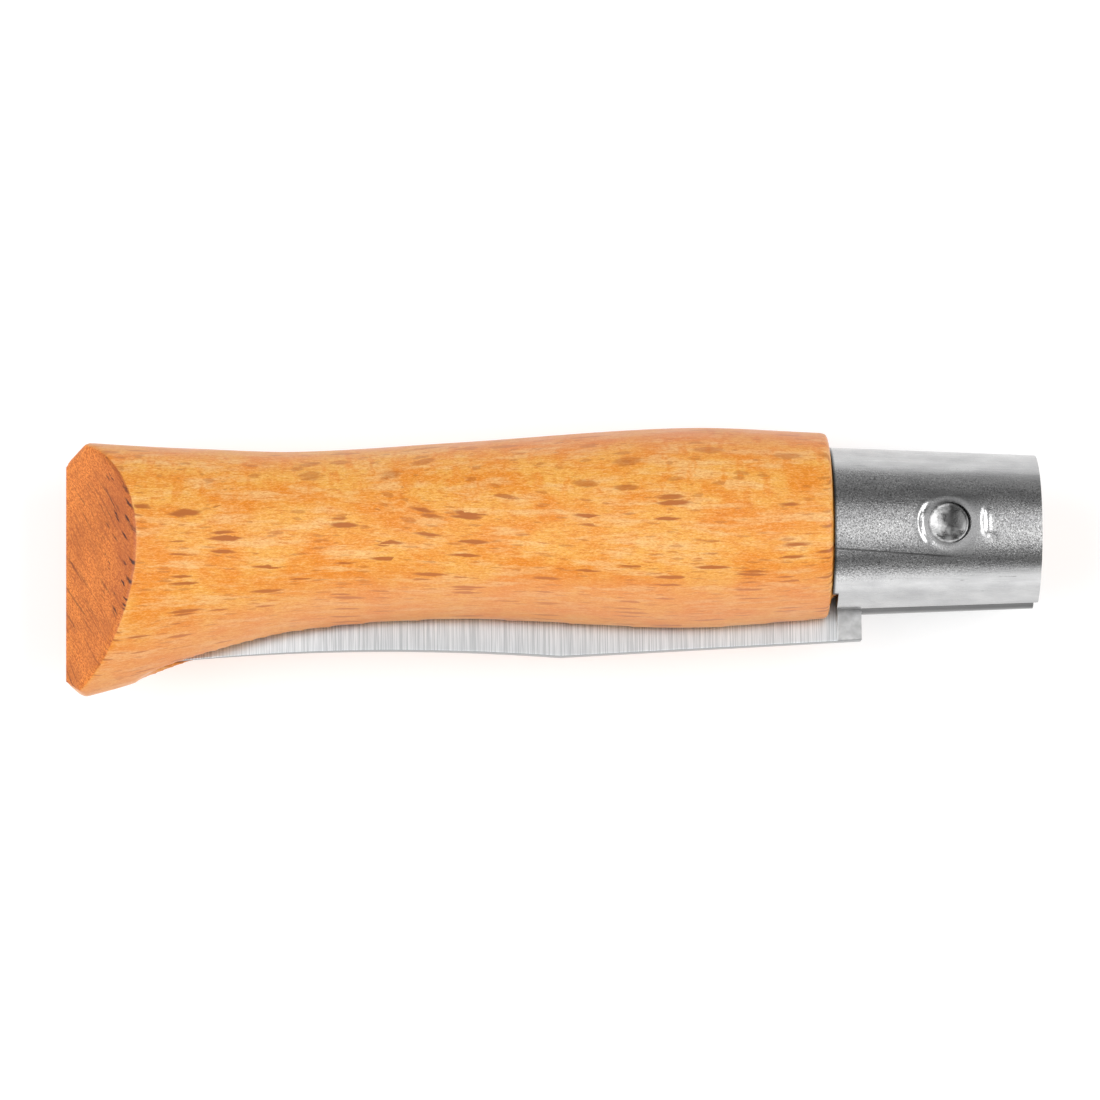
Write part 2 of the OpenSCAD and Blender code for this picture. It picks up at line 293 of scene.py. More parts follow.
# %% [markdown]
# ## Effects that several finishes share
#
# Wood fibres, drawing lines on the ferrule and grinding lines on the blade are all the
# same idea: noise that is squeezed one way and pulled long the other. Patchiness is
# also wanted everywhere. Each of the two is one node group with named inputs, built
# once and then given other numbers in each material.

# %% Shared group: fine lines
fine_lines, given, made = new_group(
    "fine lines", {"Place": (0.0, 0.0, 0.0), "Stretch": (1.0, 1.0, 1.0), "Sharpness": 0.5}, ["Lines", "Cuts"]
)
scaled = add(
    fine_lines, "ShaderNodeVectorMath",
    {0: given.outputs["Place"], 1: given.outputs["Stretch"]}, operation="MULTIPLY",
).outputs[0]
lines = noise(fine_lines, scaled, 1.0, 4.0, 0.6)
cut_from = calc(fine_lines, "MULTIPLY", given.outputs["Sharpness"], 0.2)
cut_from = calc(fine_lines, "ADD", cut_from, 0.5)
cuts = noise(fine_lines, scaled, 0.63, 2.0, 0.7)
fine_lines.links.new(lines, made.inputs["Lines"])
fine_lines.links.new(fade(fine_lines, cuts, cut_from, 0.78), made.inputs["Cuts"])

# %% Shared group: patches
patches, given, made = new_group(
    "patches", {"Place": (0.0, 0.0, 0.0), "Stretch": (1.0, 1.0, 1.0), "Contrast": 1.0}, ["Patches"]
)
scaled = add(
    patches, "ShaderNodeVectorMath",
    {0: given.outputs["Place"], 1: given.outputs["Stretch"]}, operation="MULTIPLY",
).outputs[0]
around = calc(patches, "SUBTRACT", noise(patches, scaled, 1.0, 3.0, 0.55), 0.5)
around = calc(patches, "MULTIPLY", around, given.outputs["Contrast"])
around = calc(patches, "MULTIPLY_ADD", around, 2.0, 0.5, clamp=True)
patches.links.new(around, made.inputs["Patches"])
print("shared groups:", fine_lines.name, "and", patches.name)

# %% [markdown]
# ## Varnished beech
#
# Beech is known by its rays: thin ribbons of cells that run from the heart of the tree
# to the bark. A saw that crosses them leaves short dark dashes, and one that runs along
# them leaves broad flecks. A flat pattern can't do both, so the wood is a solid: a cell
# pattern squeezed thin across the ribbons, pulled long along the trunk and longer still
# along the ribbons. The handle then shows dashes low on its side, flecks near its back
# and slanting streaks on the butt, because its surface cuts the same solid at different
# angles. The varnish is a clear coat over the colour.

# %% Material: beech
RAY_TURN = math.radians(60)


def make_beech():
    material, t, shader = new_material("varnished beech")
    mm = drawing_mm(t)
    axes = add(t, "ShaderNodeSeparateXYZ", {0: mm})
    # across: from one ribbon to the next; deep: along a ribbon, towards the bark
    across = calc(t, "MULTIPLY", axes.outputs[1], math.cos(RAY_TURN))
    across = calc(t, "MULTIPLY_ADD", axes.outputs[2], math.sin(RAY_TURN), across)
    deep = calc(t, "MULTIPLY", axes.outputs[1], -math.sin(RAY_TURN))
    deep = calc(t, "MULTIPLY_ADD", axes.outputs[2], math.cos(RAY_TURN), deep)
    wander = noise(t, stretched(t, mm, (0.04, 0.10, 0.10)), 1.0, 1.0)
    across = calc(t, "MULTIPLY_ADD", wander, 2.0, across)
    ragged = noise(t, stretched(t, mm, (0.9, 3.0, 3.0)), 1.0, 2.0)
    across = calc(t, "MULTIPLY_ADD", ragged, 0.20, across)
    wood = add(t, "ShaderNodeCombineXYZ", {0: axes.outputs[0], 1: across, 2: deep}).outputs[0]

    def rays(scale, size, rare, move):
        place = stretched(t, wood, scale, move=move)
        cells = add(
            t, "ShaderNodeTexVoronoi", {"Vector": place, "Scale": 1.0, "Exponent": 1.7, "Randomness": 1.0},
            distance="MINKOWSKI", feature="F1",
        )
        chance = add(t, "ShaderNodeSeparateColor", {0: cells.outputs["Color"]}).outputs[0]
        reach = fade(t, chance, rare, 1.0, 0.001, size)
        near = calc(t, "DIVIDE", cells.outputs["Distance"], reach)
        return fade(t, near, 0.55, 1.0, 1.0, 0.0), chance

    large, chance = rays((0.23, 2.6, 0.50), 0.58, 0.50, (0.0, 0.0, 0.0))
    small, _ = rays((0.42, 4.2, 0.9), 0.50, 0.30, (13.0, 5.0, 7.0))
    fibres = placed(t, fine_lines, {"Place": wood, "Stretch": (0.80, 9.0, 6.0), "Sharpness": 0.4})
    pores = placed(t, fine_lines, {"Place": wood, "Stretch": (1.8, 12.0, 8.0), "Sharpness": 0.3})
    clouds = placed(t, patches, {"Place": wood, "Stretch": (0.16, 0.30, 0.30), "Contrast": 2.3})
    streaks = placed(t, patches, {"Place": wood, "Stretch": (0.16, 1.5, 0.8), "Contrast": 1.4})
    ripple = placed(t, patches, {"Place": wood, "Stretch": (0.80, 0.55, 0.45), "Contrast": 1.6})

    deep_orange, honey = (0.85, 0.275, 0.016, 1), (0.91, 0.455, 0.082, 1)
    pale, ray_brown = (0.94, 0.61, 0.26, 1), (0.45, 0.125, 0.020, 1)
    colour = blend(t, clouds.outputs[0], deep_orange, honey)
    colour = blend(t, fade(t, streaks.outputs[0], 0.40, 1.0, 0.0, 0.70), colour, pale)
    waves = fade(t, ripple.outputs[0], 0.50, 1.0, 0.0, 0.70)
    waves = calc(t, "MULTIPLY", waves, fade(t, axes.outputs[1], 0.0, 5.0, 0.25, 1.0))
    colour = blend(t, waves, colour, deep_orange)
    dark_fibres = fade(t, fibres.outputs["Lines"], 0.50, 0.68, 0.0, 0.75)
    colour = blend(t, dark_fibres, colour, (0.70, 0.185, 0.014, 1))
    colour = blend(t, fade(t, fibres.outputs["Lines"], 0.48, 0.32, 0.0, 0.40), colour, pale)
    grain = noise(t, stretched(t, wood, (3.0, 14.0, 9.0)), 1.0, 3.0, 0.7)
    colour = blend(t, fade(t, grain, 0.38, 0.60, 0.42, 0.0), colour, (0.66, 0.20, 0.020, 1))
    colour = blend(t, fade(t, grain, 0.50, 0.66, 0.0, 0.35), colour, pale)
    colour = blend(t, fade(t, pores.outputs["Cuts"], 0.0, 1.0, 0.0, 0.34), colour, ray_brown)
    colour = blend(t, calc(t, "MULTIPLY", small, 0.45), colour, ray_brown)
    strength = fade(t, chance, 0.50, 0.85, 0.45, 0.95)
    strength = calc(t, "MULTIPLY", strength, fade(t, axes.outputs[1], 1.5, 5.5, 1.0, 0.55))
    colour = blend(t, calc(t, "MULTIPLY", large, strength), colour, ray_brown)
    # painted shade: the back of the handle is painted darker and redder, as it looks where the light only
    # grazes it
    back_painted_shade = fade(t, axes.outputs[1], 6.0, 10.5, 0.0, 0.42)
    colour = blend(t, back_painted_shade, colour, (0.68, 0.17, 0.035, 1))
    # painted sheen: faces turned towards the slot side are painted duller and pinker, by the way they face
    facing = add(t, "ShaderNodeSeparateXYZ", {0: add(t, "ShaderNodeTexCoord", {}).outputs["Normal"]})
    slot_side_painted_sheen = fade(t, facing.outputs[1], -0.80, -0.30, 0.50, 0.0)
    colour = blend(t, slot_side_painted_sheen, colour, (0.72, 0.27, 0.11, 1))

    # the butt is end grain, which drinks varnish and goes darker and redder
    off_middle = calc(t, "ABSOLUTE", axes.outputs[2])
    depth = calc(t, "MULTIPLY", off_middle, math.cos(FACET))
    depth = calc(t, "MULTIPLY_ADD", axes.outputs[0], math.sin(FACET), calc(t, "MULTIPLY", depth, -1.0))
    butt = fade(t, depth, 0.10, 0.22, 1.0, 0.0)
    end_dark, end_light = (0.54, 0.115, 0.016, 1), (0.95, 0.32, 0.055, 1)
    end_pores = noise(t, stretched(t, wood, (2.5, 9.0, 3.5)), 1.0, 4.0, 0.7)
    end_grain = blend(t, fade(t, end_pores, 0.35, 0.65), end_dark, end_light)
    end_rays = placed(t, fine_lines, {"Place": wood, "Stretch": (0.15, 3.4, 0.16), "Sharpness": 0.50})
    end_patches = placed(t, patches, {"Place": wood, "Stretch": (0.30, 0.42, 0.22), "Contrast": 2.0})
    streaky = calc(t, "MULTIPLY", fade(t, end_rays.outputs["Lines"], 0.53, 0.68, 0.0, 0.90),
                   fade(t, end_patches.outputs[0], 0.15, 0.75, 0.25, 1.0))
    end_grain = blend(t, streaky, end_grain, (0.34, 0.075, 0.016, 1))
    stains = calc(t, "MULTIPLY", end_patches.outputs[0], 0.45)
    end_grain = blend(t, stains, end_grain, (0.42, 0.100, 0.020, 1))
    # the wood dries and cracks first towards the rim of the wedge
    rim = calc(t, "MULTIPLY", fade(t, off_middle, 3.8, 6.8), fade(t, axes.outputs[1], -12.0, -7.0))
    end_grain = blend(t, calc(t, "MULTIPLY", rim, 0.42), end_grain, (0.40, 0.085, 0.022, 1))
    colour = blend(t, butt, colour, end_grain)
    cracks, _ = rays((0.05, 2.6, 0.42), 0.62, 0.34, (5.0, 3.0, 9.0))
    cracks = calc(t, "MULTIPLY", cracks, fade(t, off_middle, 3.4, 5.2))
    checks = calc(t, "MAXIMUM", end_rays.outputs["Cuts"], cracks)
    checks = calc(t, "MULTIPLY", checks, butt)
    colour = blend(t, checks, colour, (0.08, 0.02, 0.01, 1))

    height = calc(t, "MULTIPLY", fibres.outputs["Lines"], 0.35)
    height = calc(t, "MULTIPLY_ADD", large, -0.30, height)
    height = calc(t, "MULTIPLY_ADD", pores.outputs["Cuts"], -0.25, height)
    height = calc(t, "MULTIPLY_ADD", checks, -1.5, height)
    height = calc(t, "MULTIPLY", height, fade(t, butt, 0.0, 1.0, 1.0, 0.20))
    gloss = fade(t, clouds.outputs[0], 0.0, 1.0, 0.36, 0.46)
    feed(t, shader, colour, gloss, height, 0.25, 0.00006)
    t.links.new(fade(t, butt, 0.0, 1.0, 0.25, 0.0), shader.inputs["Coat Weight"])
    shader.inputs["Specular IOR Level"].default_value = 0.35
    shader.inputs["Coat Roughness"].default_value = 0.32
    shader.inputs["IOR"].default_value = 1.48
    return material


beech = make_beech()
print("made", beech.name)

# %% [markdown]
# ## The handle
#
# A handle like this is shaped on a copying lathe or a belt from one block, so it is a
# smooth body with no seams: rings of points along the handle, each nearly an ellipse
# and more pointed at the heel. The wedge at the butt and the two corner cuts are flat,
# so the body is sliced with planes. The slot is sawn with a solid cutter.
#
# Hand-sanded edges are never sharp. Bevels on cut meshes often tangle, so the pieces of
# wood are melted together with a voxel remesh, and a few rounds of smoothing ease every
# edge by a few tenths of a millimetre, as sandpaper does.

# %% Shape of the wood
# distance from the butt, back, slot side, half thickness, height of the widest line
BACK, DROP, SIDE, LEVEL = 1, 2, 3, 4  # columns
SECTIONS = [
    (0.0, 9.95, 18.4, 8.3, -2.2),
    (7.14, 9.467, 16.408, 8.25, -2.0),
    (14.29, 9.122, 13.81, 8.2, -1.4),
    (25.21, 8.8, 11.039, 8.2, -0.6),
    (42.02, 9.788, 9.74, 8.795, 0.0),
    (66.74, 11.4, 10.66, 9.9, 0.0),
    (82.4, 10.85, 9.65, 9.6, 0.0),
]


def along(x, k):
    """Smooth curve through column k of the sections."""
    i = max(j for j in range(len(SECTIONS) - 1) if j == 0 or SECTIONS[j][0] <= x)

    def slope(j):
        a, b = max(j - 1, 0), min(j + 1, len(SECTIONS) - 1)
        return (SECTIONS[b][k] - SECTIONS[a][k]) / (SECTIONS[b][0] - SECTIONS[a][0])

    w = SECTIONS[i + 1][0] - SECTIONS[i][0]
    t = (x - SECTIONS[i][0]) / w
    return (
        SECTIONS[i][k] * (1 + 2 * t) * (1 - t) ** 2 + slope(i) * w * t * (1 - t) ** 2
        + SECTIONS[i + 1][k] * t * t * (3 - 2 * t) - slope(i + 1) * w * t * t * (1 - t)
    )


# the heel is more pointed than the rest, whose section is nearly an ellipse
ROUND_POWER, HEEL_POWER, WAIST_X = 2.12, 1.7, 42.02


def bulge(c, power):
    return math.copysign(abs(c) ** (2 / power), c)


def wood_ring(x, inset=0.0, sides=160):
    ring = []
    for j in range(sides):
        a = 2 * math.pi * j / sides
        over = math.sin(a) >= 0
        power = ROUND_POWER if over else mix(HEEL_POWER, ROUND_POWER, min(1, x / WAIST_X))
        level = along(x, LEVEL)
        half = (along(x, BACK) - level if over else along(x, DROP) + level) - inset
        side = along(x, SIDE) - inset
        ring.append((x, level + half * bulge(math.sin(a), power), side * bulge(math.cos(a), power)))
    return ring


RIM = 0.45
stations = list(np.linspace(0, HANDLE - RIM, 150))
rings = [wood_ring(x) for x in stations]
for step in range(1, 7):
    turn = math.pi / 2 * step / 6
    rings.append(wood_ring(HANDLE - RIM + RIM * math.sin(turn), RIM * (1 - math.cos(turn))))
blank = loft(rings, "blank")
print("blank:", len(blank.vertices), "points")


# %% Slice the butt
def sliced(me, cuts):
    """Cuts a closed mesh with planes, keeps what lies behind each and closes the cut."""
    bm = bmesh.new()
    bm.from_mesh(me)
    for point, normal in cuts:
        found = bmesh.ops.bisect_plane(
            bm, geom=bm.verts[:] + bm.edges[:] + bm.faces[:],
            plane_co=point, plane_no=normal, clear_outer=True, dist=1e-5,
        )
        rim = [e for e in found["geom_cut"] if isinstance(e, bmesh.types.BMEdge)]
        bmesh.ops.edgeloop_fill(bm, edges=rim)
    bmesh.ops.recalc_face_normals(bm, faces=bm.faces[:])
    bm.to_mesh(me)
    bm.free()
    return me


BACK_CUT, HEEL_CUT = (2.5, 2.3), (2.1, 1.6)
blank = sliced(blank, [
    ((0, 0, 0), (-math.sin(FACET), 0, math.cos(FACET))),
    ((0, 0, 0), (-math.sin(FACET), 0, -math.cos(FACET))),
    ((BACK_CUT[0], along(BACK_CUT[0], BACK), 0), (-BACK_CUT[1], BACK_CUT[0], 0)),
    ((HEEL_CUT[0], -along(HEEL_CUT[0], DROP), 0), (-HEEL_CUT[1], -HEEL_CUT[0], 0)),
])
print("after slicing:", len(blank.vertices), "points")

# %% Sizes that the blade and its slot share
SHOULDER, TIP, WIDE = 8.85, 83.85, 41.5  # distances from the rivet
EDGE_Y, ROOT_W, WIDE_W = 2.4, 14.15, 15.93
TANG_R, BELLY_L = 5.9, 26.0
TIP_DROP, HOLLOW, TIP_H = 0.42, 0.88, 0.2
BELLY_X = TIP - BELLY_L


def spine_at(x):
    """Height of the spine over the rivet at a distance from the rivet."""
    root, wide = EDGE_Y - ROOT_W, EDGE_Y - WIDE_W
    if x < WIDE:
        return mix(root, wide, (x - SHOULDER) / (WIDE - SHOULDER))
    t = (x - WIDE) / (TIP - WIDE)
    return wide - TIP_DROP * t + 4 * HOLLOW * t * (1 - t)


BELLY_H = EDGE_Y - spine_at(TIP) - TIP_H
BELLY_R = (BELLY_L**2 + BELLY_H**2) / (2 * BELLY_H)
print("belly radius", round(BELLY_R, 2))

# %% Saw the slot and turn the tenon
ROOF, SLOT_HALF, SWEEP = 3.8, 1.3, 6.5
SLOT_GAP, SAW_RUN, RUN_DEPTH = 1.4, 2.0, 0.15  # room past the edge, and the saw's run-out
TANG_SLOPE, SLOT_FRONT = 2.6, PIVOT_X + 8.55
FAR, HIGH = -40, 30  # past any wood
reach = BELLY_R + SLOT_GAP
start = math.pi - math.acos(min(1, (BELLY_L + SLOT_GAP) / reach))
SLOT_X = PIVOT_X - TIP - SLOT_GAP
RUN_X = SLOT_X - SAW_RUN  # the saw runs out to the surface of the heel here
slot_outline = [
    (RUN_X, FAR), (RUN_X, RUN_DEPTH - along(RUN_X, DROP)), (SLOT_X, EDGE_Y - BELLY_H - 1)
]
for step in range(25):
    a = mix(start, math.pi / 2, step / 24)
    slot_outline.append((PIVOT_X - BELLY_X + reach * math.cos(a), EDGE_Y - BELLY_R + reach * math.sin(a)))
slot_outline += [
    (PIVOT_X - SHOULDER - 5, ROOF), (PIVOT_X - TANG_R - TANG_SLOPE, SWEEP), (SLOT_FRONT, SWEEP),
    (SLOT_FRONT, HIGH), (KNIFE_L + 10, HIGH), (KNIFE_L + 10, FAR),
]
slot_cutter = slab(list(reversed(slot_outline)), -SLOT_HALF, SLOT_HALF, "slot")

TENON_END = 104.6
turns = [2 * math.pi * j / 96 for j in range(96)]
tenon = loft(
    [[(x, r * math.cos(a), r * math.sin(a)) for a in turns] for x, r in
     [(79.0, 8.59), (FERRULE_X, 8.46), (TENON_END, 7.62)]],
    "tenon",
)
LIP_GAP, LIP_R = 1.5, 1.5
lip_y = math.sqrt((FRONT_R - LIP_R) ** 2 - (LIP_GAP + LIP_R) ** 2)
body = carved(blank, [slot_cutter.copy()], "body")
tenon = carved(tenon, [
    slot_cutter,
    box_mesh(FERRULE_X - 0.1, 110, -20, 1.3 - lip_y, -2.4, 2.4),
    box_mesh(FERRULE_X - 0.1, 110, -20, -lip_y, -3.9, 3.9),
    rod(PIVOT_X, 0, 2.04, 2.04, -12, 12),
], "tenon")
print("body", len(body.polygons), "tenon", len(tenon.polygons), "faces")


# %% Melt the wood together and ease its edges
def melted(parts, size, rounds, name):
    bm = bmesh.new()
    for part in parts:
        bm.from_mesh(part)
    me = bpy.data.meshes.new(name)
    bm.to_mesh(me)
    bm.free()
    ob = new_piece(name, me)
    remesh = ob.modifiers.new("melt", "REMESH")
    remesh.mode, remesh.voxel_size, remesh.adaptivity = "VOXEL", size, 0.0
    ease = ob.modifiers.new("ease", "SMOOTH")
    ease.factor, ease.iterations = 0.5, rounds
    return baked(ob, name)


VOXEL, ROUNDS = 0.36, 4
wood = melted([body, tenon], VOXEL, ROUNDS, "beech_handle")
finish_piece(wood, "beech_handle", "grip", "handle", beech)

# %% [markdown]
# ## Bright steel
#
# The ferrule is drawn sheet that was tumbled bright after it was rolled, so three marks
# lie over each other: long faint lines from the drawing, tiny dents like orange peel,
# and short scratches from use. The tumbling reached the bulging side most, so a mask by
# distance from the middle line of the knife keeps the edges of the tube smoother. On that
# side the colour also has bright specks: painted glints of the lamps in the dents.

# %% Material: ferrule steel
def make_ferrule_steel():
    material, t, shader = new_material("tumbled steel")
    mm = drawing_mm(t)
    axes = add(t, "ShaderNodeSeparateXYZ", {0: mm})
    flank = fade(t, calc(t, "ABSOLUTE", axes.outputs[2]), 6.4, 8.0)
    drawn = placed(t, fine_lines, {"Place": mm, "Stretch": (0.10, 3.2, 3.2), "Sharpness": 0.6})
    scratches = placed(t, fine_lines, {"Place": mm, "Stretch": (0.55, 5.0, 2.0), "Sharpness": 0.95})
    peel = noise(t, stretched(t, mm, (5.5, 5.5, 5.5)), 1.0, 3.0, 0.7)
    # the punch that set the rivet burnished the sheet round it
    off = distance_from(t, mm, (PIVOT_X + 0.4, 0, 0))
    dents_and_glints = calc(t, "MULTIPLY", flank, fade(t, off, 2.6, 5.2, 0.30, 1.0))
    tarnish = placed(t, patches, {"Place": mm, "Stretch": (0.25, 0.6, 0.4), "Contrast": 1.2})
    colour = blend(t, tarnish.outputs[0], (0.44, 0.44, 0.445, 1), (0.58, 0.58, 0.58, 1))
    colour = blend(t, calc(t, "MULTIPLY", scratches.outputs["Cuts"], 0.55), colour, (0.14, 0.14, 0.14, 1))
    pits = fade(t, peel, 0.52, 0.64)
    pits = calc(t, "MULTIPLY", pits, calc(t, "MULTIPLY", dents_and_glints, 0.85))
    colour = blend(t, pits, colour, (0.12, 0.12, 0.12, 1))
    # painted glints: near-white specks in the colour on the bulging side, where the lamps catch the dents
    bright = fade(t, peel, 0.45, 0.34)
    bright = calc(t, "MULTIPLY", bright, calc(t, "MULTIPLY", dents_and_glints, 0.7))
    colour = blend(t, bright, colour, (0.92, 0.92, 0.92, 1))
    # one long mark left by the drawing die, low on the side
    mark = calc(t, "MULTIPLY_ADD", axes.outputs[0], 0.063, calc(t, "ADD", axes.outputs[1], -2.41))
    mark = fade(t, calc(t, "ABSOLUTE", mark), 0.03, 0.14, 1.0, 0.0)
    mark = calc(t, "MULTIPLY", mark, fade(t, axes.outputs[0], 93.5, 96.5, 0.75, 0.0))
    colour = blend(t, mark, colour, (0.10, 0.10, 0.10, 1))
    rough = fade(t, drawn.outputs["Lines"], 0.3, 0.7, 0.13, 0.22)
    # painted shade: the seam at the wood and the lips, where they turn into the slot, are painted near black
    lip_painted_shade = fade(t, calc(t, "ABSOLUTE", axes.outputs[2]), 1.8, 3.6, 1.0, 0.0)
    lip_painted_shade = calc(t, "MULTIPLY", lip_painted_shade, fade(t, axes.outputs[1], -6.5, -4.0, 0.8, 0.0))
    seam_painted_shade = fade(t, axes.outputs[0], FERRULE_X + 0.05, FERRULE_X + 0.3, 0.85, 0.0)
    colour = blend(t, calc(t, "MAXIMUM", lip_painted_shade, seam_painted_shade), colour, (0.05, 0.05, 0.05, 1))
    rough = calc(t, "MULTIPLY_ADD", flank, -0.10, calc(t, "ADD", rough, 0.10))
    height = calc(t, "MULTIPLY", peel, dents_and_glints)
    height = calc(t, "MULTIPLY_ADD", drawn.outputs["Lines"], 0.25, height)
    height = calc(t, "MULTIPLY_ADD", scratches.outputs["Cuts"], -0.4, height)
    feed(t, shader, colour, rough, height, 0.45, 0.00006)
    shader.inputs["Metallic"].default_value = 1.0
    return material


ferrule_steel = make_ferrule_steel()
print("made", ferrule_steel.name)

# %% [markdown]
# ## The ferrule
#
# A ferrule is one strip of sheet rolled round the tenon, and its two long edges turn
# into the slot so that they can't cut a hand. Its shape follows a rule, the same section
# all along a straight line and a little smaller at the front, so Geometry Nodes sweep it:
# the section comes in as a loop of points, a line gives the length, and the sweep's
# scale shrinks from one end to the other.

# %% Section of the rolled sheet
def arc(cz, cy, r, start, stop, steps):
    turns = [math.radians(mix(start, stop, i / steps)) for i in range(steps + 1)]
    return [(cz + r * math.cos(a), cy + r * math.sin(a)) for a in turns]


def sheet_section(radius, wall, gap, bend, flange):
    """Points (z, y) round the sheet: outside from the near lip to the far one, then back."""
    cz = gap + bend
    cy = -math.sqrt((radius - bend) ** 2 - cz**2)
    turn = math.degrees(math.atan2(cy, cz))

    def side(inset):
        top = cy + flange
        return (
            [(cz - bend + inset, top - 0.4), (cz - bend + inset, cy + 0.35)]
            + arc(cz, cy, bend - inset, 180, 360 + turn, 18)
            + arc(0, 0, radius - inset, turn, 180 - turn, 220)[1:-1]
            + arc(-cz, cy, bend - inset, 180 - turn, 360, 18)
            + [(-cz + bend - inset, cy + 0.35), (-cz + bend - inset, top - 0.4)]
        )

    mid = wall / 2
    far_end = arc(-cz + bend - mid, cy + flange - 0.4, mid, 0, 180, 6)[1:-1]
    near_end = arc(cz - bend + mid, cy + flange - 0.4, mid, 0, 180, 6)[1:-1]
    return side(0) + far_end + list(reversed(side(wall))) + near_end


FLANGE = 1.2
section = sheet_section(BACK_R, WALL, LIP_GAP, LIP_R, FLANGE)
print("section:", len(section), "points")


# %% Geometry Nodes: sweep a section and taper it
def make_sweep():
    tree = bpy.data.node_groups.new("tapered sweep", "GeometryNodeTree")
    for key, kind, value in [
        ("Section", "NodeSocketGeometry", None), ("Length", "NodeSocketFloat", 20.0),
        ("Front scale", "NodeSocketFloat", 0.9), ("Steps", "NodeSocketInt", 100),
        ("Material", "NodeSocketMaterial", None),
    ]:
        socket = tree.interface.new_socket(key, in_out="INPUT", socket_type=kind)
        if value is not None:
            socket.default_value = value
    tree.interface.new_socket("Sheet", in_out="OUTPUT", socket_type="NodeSocketGeometry")
    given, made = tree.nodes.new("NodeGroupInput"), tree.nodes.new("NodeGroupOutput")
    section_curve = add(tree, "GeometryNodeMeshToCurve", {"Mesh": given.outputs["Section"]})
    end = add(tree, "ShaderNodeCombineXYZ", {0: given.outputs["Length"]})
    path = add(tree, "GeometryNodeCurvePrimitiveLine", {"End": end.outputs[0]})
    path = add(tree, "GeometryNodeResampleCurve", {"Curve": path.outputs[0], "Count": given.outputs["Steps"]})
    how_far = add(tree, "GeometryNodeSplineParameter").outputs["Factor"]
    shrink = add(
        tree, "ShaderNodeMapRange", {"Value": how_far, "To Min": 1.0, "To Max": given.outputs["Front scale"]}
    )
    swept = add(tree, "GeometryNodeCurveToMesh", {
        "Curve": path.outputs[0], "Profile Curve": section_curve.outputs[0],
        "Scale": shrink.outputs[0], "Fill Caps": True,
    })
    real = add(tree, "GeometryNodeRealizeInstances", {0: swept.outputs[0]})
    coated = add(tree, "GeometryNodeSetMaterial", {0: real.outputs[0], "Material": given.outputs["Material"]})
    tree.links.new(coated.outputs[0], made.inputs[0])
    return tree


def swept_sheet(section, length, front_scale, steps, material):
    """Feeds the section to the tree. The sweep puts its X and Y on -Y and -Z of the path."""
    loop = [(-y, -z, 0) for z, y in reversed(section)]
    me = bpy.data.meshes.new("section")
    me.from_pydata(loop, [(j, (j + 1) % len(loop)) for j in range(len(loop))], [])
    ob = new_piece("sheet", me)
    mod = ob.modifiers.new("sweep", "NODES")
    mod.node_group = make_sweep()
    values = {"Length": length, "Front scale": front_scale, "Steps": steps, "Material": material}
    for item in mod.node_group.interface.items_tree:
        if item.in_out == "INPUT" and item.name in values:
            mod[item.identifier] = values[item.name]
    out = baked(ob, "ferrule")
    out.transform(Matrix.Translation((FERRULE_X, 0, 0)))
    return out


SWEEP_STEPS = 150
sheet = swept_sheet(section, FERRULE_L, FRONT_R / BACK_R, SWEEP_STEPS, ferrule_steel)
print("sheet:", len(sheet.polygons), "faces")

# %% [markdown]
# ### Marks of the press
#
# The rivet was set with a punch that bit into the sheet beside it, so there is a curved
# nick left of the hole and a short upright one right of it. They are pressed into the
# mesh itself: each point of the sheet is moved towards the axis by a small amount that
# depends only on how far it is from the mark.

# %% Press the marks in
FERRULE_TAPER = (BACK_R - FRONT_R) / FERRULE_L


def ferrule_r(x):
    return BACK_R - FERRULE_TAPER * (x - FERRULE_X)


def bell(d, middle, width):
    """A smooth hump, 1 high at its middle."""
    return np.exp(-(((d - middle) / width) ** 2))


def press(points):
    dx, dy = points[:, 0] - PIVOT_X, points[:, 1]
    d = np.hypot(dx, dy)
    left = np.clip(1 - ((dy - 0.1) / 2.3) ** 2, 0, 1) * (dx < 0)
    sink = left * (0.26 * bell(d, 3.0, 0.17) - 0.08 * bell(d, 3.4, 0.2))
    upright = np.clip(1 - ((dy - 0.2) / 1.5) ** 2, 0, 1)
    sink += upright * (0.22 * bell(dx, 3.85, 0.17) - 0.07 * bell(dx, 4.3, 0.25))
    foot = bell(dx, 4.6, 0.55) * bell(dy, -1.3, 0.3)
    sink += 0.10 * foot + 0.06 * bell(d, 2.45, 0.35)
    r = np.hypot(points[:, 1], points[:, 2])
    outer = (points[:, 2] > 0) & (r > ferrule_r(points[:, 0]) - 1.5)
    points[outer, 1:] *= (1 - sink / np.maximum(r, 1))[outer, None]
    far = (points[:, 2] < 0) & (r > ferrule_r(points[:, 0]) - 1.5)
    collar = 0.08 * bell(d, 2.5, 0.4)
    points[far, 1:] *= (1 - collar / np.maximum(r, 1))[far, None]
    return points


co = np.empty(len(sheet.vertices) * 3)
sheet.vertices.foreach_get("co", co)
sheet.vertices.foreach_set("co", press(co.reshape(-1, 3)).ravel())

# %% Cut the notches and the rivet's hole
back_lip = -math.sqrt((BACK_R - LIP_R) ** 2 - (LIP_GAP + LIP_R) ** 2) - LIP_R
sheet = carved(sheet, [
    box_mesh(PIVOT_X + 8.8, 120, 3, 20, -1.3, 1.3),
    box_mesh(FERRULE_X - 1, FERRULE_X + 0.6, -20, back_lip + 1.4, -20, 20),
    rod(PIVOT_X, 0, 2.08, 2.08, -20, 20),
    rod(PIVOT_X + 0.13, 0.05, 2.02, 2.45, 8.1, 8.9),
    rod(PIVOT_X, 0, 2.45, 2.02, -8.9, -8.1),
], "ferrule")
finish_piece(sheet, "rolled_ferrule", "grip", "ferrule", ferrule_steel, angle=35)
